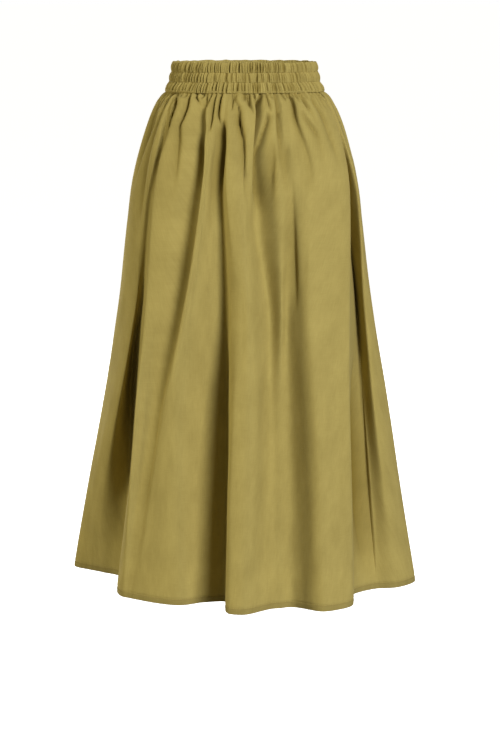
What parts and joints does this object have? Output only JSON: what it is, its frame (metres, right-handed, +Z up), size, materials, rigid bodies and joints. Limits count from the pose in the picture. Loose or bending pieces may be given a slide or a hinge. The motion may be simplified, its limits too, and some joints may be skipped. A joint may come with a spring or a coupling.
{
  "type": "a-line skirt",
  "caption": "Gathered a-line midi skirt in plain woven cloth, worn form, with an elastic waistband, side seam pockets and a narrow hem.",
  "frame": {"origin": "centre of the wearer's waist, halfway up the waistband", "axes": "+Z up; the wearer faces -Y, so the back of the skirt is towards +Y; +X is the wearer's left"},
  "size_m": [0.5529, 0.5096, 0.8225],
  "materials": {
    "cloth": "matte olive linen and cotton weave",
    "waistband": "matte olive weave, gathered over elastic",
    "pocket": "matte olive plain weave"
  },
  "bodies": {
    "root": {"back_panel": "cloth", "front_panel": "cloth", "back_hem": "cloth", "front_hem": "cloth", "back_waistband": "waistband", "front_waistband": "waistband", "left_pocket_bag": "pocket", "right_pocket_bag": "pocket"}
  },
  "joints": []
}
